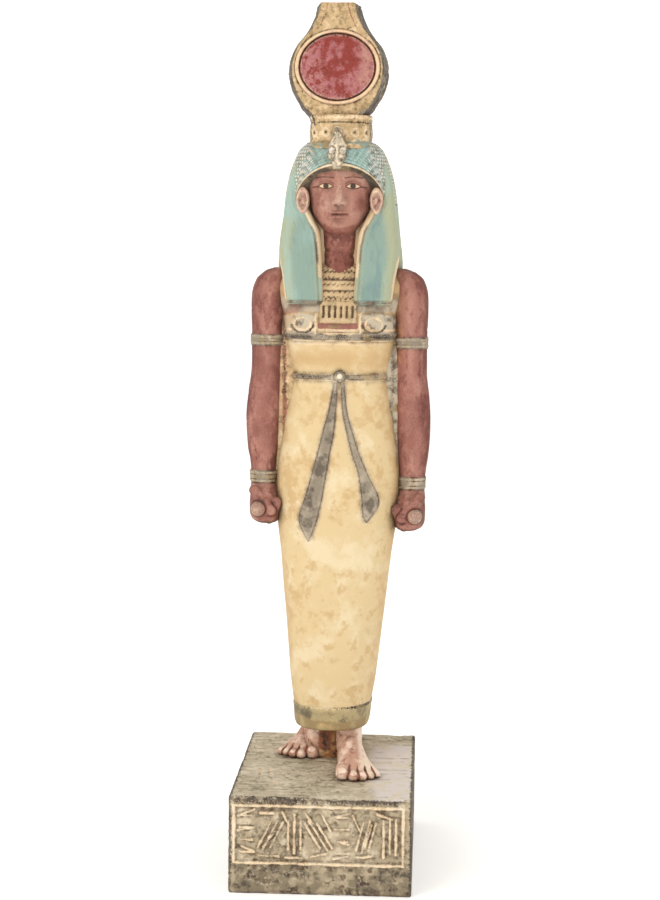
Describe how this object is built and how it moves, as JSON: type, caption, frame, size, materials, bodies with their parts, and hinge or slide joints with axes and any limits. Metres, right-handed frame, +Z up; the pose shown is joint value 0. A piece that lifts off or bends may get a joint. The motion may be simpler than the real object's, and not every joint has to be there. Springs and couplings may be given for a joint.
{
  "type": "isis statue",
  "caption": "Painted cast-stone goddess with horned sun disc, wig and sheath dress, stepping forward before a back pillar on a block plinth; stands by its own weight.",
  "frame": {"origin": "centre of the underside's box, on the floor", "axes": "+Z up, the figure faces -Y, +X is the figure's own left, on the viewer's right"},
  "size_m": [0.1007, 0.1386, 0.4568],
  "materials": {
    "painted_stone": "matte hand-painted cast stone with antique wash"
  },
  "bodies": {
    "root": {"isis_statue": "painted_stone"}
  },
  "joints": []
}
